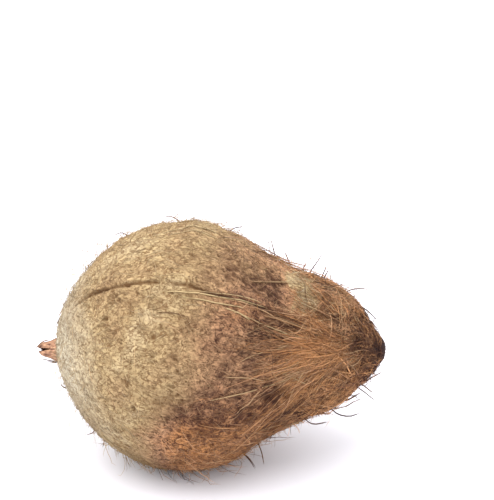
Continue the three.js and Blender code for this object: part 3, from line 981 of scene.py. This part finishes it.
def split_strand(random, points, hairs, spread, radius, tone=None, hue=None):
    """A strand as a few fibres that leave one root together and part towards the end."""
    count = 9
    spine = bent_through(points, count)
    share = np.linspace(0, 1, count)[:, None]
    spines = np.stack([spine + random.normal(0, spread, 3) * (0.25 + share) for _ in range(hairs)])
    radii = radius * random.uniform(0.7, 1.1, (hairs, 1)) * np.minimum(1, (1.02 - share.T) / 0.5) ** 0.6
    if tone is None:
        tones, hues = tones_at(random, *under(spines), 0.75, 0.1)
    else:
        tones = np.clip(random.normal(tone, 0.15, (hairs, 1)), 0, 1)
        hues = np.clip(random.normal(hue, 0.05, (hairs, 1)), 0, 1)
    return fibre_arrays(spines, radii, tones, hues)


def standing_groups():
    random = np.random.default_rng(71)
    groups = []
    for points in own_strands(5, 26, first=10, last=86, mat=True):
        groups.append(split_strand(random, points, hairs=3, spread=0.3, radius=0.16))
    for points in own_strands(9, 50, first=80, last=122, mat=False):
        groups.append(split_strand(random, points, hairs=5, spread=0.45, radius=0.18))
    for row in STRAYS:
        points = [place(along, math.radians(degrees), out) for along, degrees, out in row]
        groups.append(split_strand(random, points, hairs=2, spread=0.15, radius=0.3, tone=0.05, hue=0.6))
    return groups


def fuzz(seed, count, low, high, length, radius, lean, level, points=6):
    """Fine hairs that stand off the mat all over, leaning and curling."""
    random = np.random.default_rng(seed)
    reach0 = spread_reaches(random, count, low, high)
    turn0 = random.random(count)
    direction = random.normal(0, 1.0, count)
    long = spaced(*length, random.random(count) ** 2)
    share = np.linspace(0, 1, points)[None]
    ground = long[:, None] * share * spaced(*lean, random.random((count, 1)))
    curl = random.normal(0, 0.8, (count, 1)) * share
    around = 2 * math.pi * np.maximum(np.interp(reach0, REACH, RADIUS), 3)[:, None]
    reach = np.clip(reach0[:, None] + ground * np.cos(direction[:, None] + curl), 0.5, LENGTH - 4)
    turn = turn0[:, None] + ground * np.sin(direction[:, None] + curl) / around
    h = -0.3 + long[:, None] * share**0.9 * spaced(0.2, 0.85, random.random((count, 1)))
    spines = on_mat(reach, turn, h)
    radii = spaced(*radius, random.random((count, 1)) ** 2) * taper(points, 0.3)[None]
    tones, hues = tones_at(random, reach, turn, level, 0.3)
    return fibre_arrays(spines, radii, tones, 0.12 + 0.6 * hues)


fibre_piece(
    "standing_strands",
    standing_groups()
    + [
        fuzz(72, 4000, 4, 176, (3, 10), (0.08, 0.14), (0.3, 0.9), level=0.5),
        fuzz(74, 420, 20, 190, (9, 20), (0.1, 0.16), (0.85, 1), level=0.6, points=8),
        fuzz(73, 1200, 150, 200, (3, 9), (0.08, 0.14), (0.4, 1), level=0.45),
    ],
)

# The torn stub
# What is left of the husk at the blossom end: a hollow peg of stiff red-brown husk with a ragged rim. It grew
# out of the mat and is torn off short.
STUB_OUTLINE = [
    (4, 0), (4, 6.6), (1, 6), (-1.5, 5.2), (-4, 4.1), (-6.5, 3.5), (-8, 2.8), (-9.2, 1.2),
    (-8.6, 0.9), (-7, 2.4), (-3, 2.8), (-0.8, 0),
]  # along, radius: from the root inside the mat, over the rim and down into the hollow
STUB_SIDES = 9
STUB_TEAR = 2.6
STUB_DROOP = 3.4
STUB_GAP = 300  # where the rim is torn down furthest, in degrees
STUB_GAP_WIDTH = 34
STUB_GAP_DEPTH = 5.4
STUB_RIBS = 23
STUB_COLUMNS = 90
STUB_STEPS = 5


def stub_piece():
    roll = dice(31)
    tears = np.array([STUB_TEAR * (2 * next(roll) - 1) for _ in range(STUB_SIDES)])
    given = np.array(STUB_OUTLINE, float)
    marks = np.arange(len(given))
    fine = np.linspace(0, len(given) - 1, (len(given) - 1) * STUB_STEPS + 1)
    along, radius = np.interp(fine, marks, given[:, 0]), np.interp(fine, marks, given[:, 1])
    turn = np.arange(STUB_COLUMNS) / STUB_COLUMNS
    side = turn * STUB_SIDES
    near = np.floor(side).astype(int)
    tear = tears[near % STUB_SIDES] * (near + 1 - side) + tears[(near + 1) % STUB_SIDES] * (side - near)
    ragged = np.random.default_rng(32).normal(0, 0.5, STUB_COLUMNS)
    off_gap = (np.degrees(2 * math.pi * turn) - STUB_GAP + 180) % 360 - 180
    ragged -= STUB_GAP_DEPTH * np.exp(-((off_gap / STUB_GAP_WIDTH) ** 2))
    pulled = smoothstep(-along, 3.5, 6.6)[:, None]
    along = along[:, None] - pulled * (0.35 * tear + ragged)[None]
    ribs = 1 + 0.07 * np.sin(turn * 2 * math.pi * STUB_RIBS)[None] * (fine < 5)[:, None]
    points = place(along, -2 * math.pi * turn[None] + 0 * along, radius[:, None] * ribs)
    points[..., 2] -= STUB_DROOP
    inside = in_a_row(np.broadcast_to(smoothstep(fine, 7.2, 8.2)[:, None], points.shape[:2]))
    return mesh_piece("husk_stub", in_a_row(points), grid_faces(points), None, {"inside": inside})


husk_stub = stub_piece()

# Torn husk is a hard red-brown rind of short stiff fibres. It is dull, and its torn side gives the eye coarse
# streaks of dark and tan. The hollow is painted darker: old pith's dark brown with painted shade added.
HUSK_DARK, HUSK_TAN, HOLLOW_PITH_AND_SHADE = "#5a3424", "#b98d6d", "#3a1a10"
HUSK_FIBRE = (6.3, 1.1, 1.1)  # length and width of a bundle of stiff husk fibres
torn_husk = new_material("torn husk")
place_on = add_node(torn_husk, "TexCoord", output="Object")
inside = add_node(torn_husk, "Attribute", {"attribute_name": "inside"}, output="Fac")
stretch = add_node(torn_husk, "Mapping", {"Scale": per_size(*HUSK_FIBRE)}, {"Vector": place_on})
fibres = add_node(torn_husk, "TexNoise", {"Scale": 1, "Detail": 3}, {"Vector": stretch})
skin = add_node(torn_husk, "ValToRGB", links={0: fibres})
set_stops(skin.node, [(0.35, HUSK_DARK), (0.65, HUSK_TAN)])
# Painted shade in the hollow: the inside is mixed to the darker hollow brown.
hollow_shade_mix = {"data_type": "RGBA", 7: linear(HOLLOW_PITH_AND_SHADE)}
mixed = add_node(torn_husk, "Mix", hollow_shade_mix, {0: inside, 6: skin}, output=2)
bump = add_node(torn_husk, "Bump", {"Strength": 0.8, "Distance": 0.0004}, {"Height": fibres})
surface = {"Roughness": 0.75, "IOR": 1.5}
shader = add_node(torn_husk, "BsdfPrincipled", surface, {"Base Color": mixed, "Normal": bump})
add_node(torn_husk, "OutputMaterial", links={0: shader})
husk_stub.data.materials.append(torn_husk)
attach(husk_stub, "root")

# The floor and the light
# A plain white table and a wide soft light from the upper left, as for a catalogue picture. The nut lies
# loose on the table, on the coir pressed flat under it.
TABLE_COLOUR = "#d5d4da"
LIGHT_FROM = (-0.32, -0.23, 0.9)

# A matte white board, a trace cool. It gives the eye no gloss, only the nut's soft shadow.
white_table = new_material("matte white table")
surface = {"Base Color": linear(TABLE_COLOUR), "Roughness": 0.9, "IOR": 1.45}
shader = add_node(white_table, "BsdfPrincipled", surface)
add_node(white_table, "OutputMaterial", links={0: shader})
bpy.ops.mesh.primitive_plane_add(size=12)
table = bpy.context.object
table.name = "table"
table.data.materials.append(white_table)

softbox = bpy.data.objects.new("softbox", bpy.data.lights.new("softbox", "SUN"))
bpy.context.collection.objects.link(softbox)
softbox.data.energy = 2.5
softbox.data.angle = math.radians(60)
softbox.rotation_euler = Vector(LIGHT_FROM).to_track_quat("Z", "Y").to_euler()

surroundings = bpy.data.worlds.new("white room")
surroundings.use_nodes = True
surroundings.node_tree.nodes["Background"].inputs[0].default_value = (1, 1, 1, 1)
surroundings.node_tree.nodes["Background"].inputs[1].default_value = 2.1
bpy.context.scene.world = surroundings
bpy.context.scene.view_settings.view_transform = "Standard"
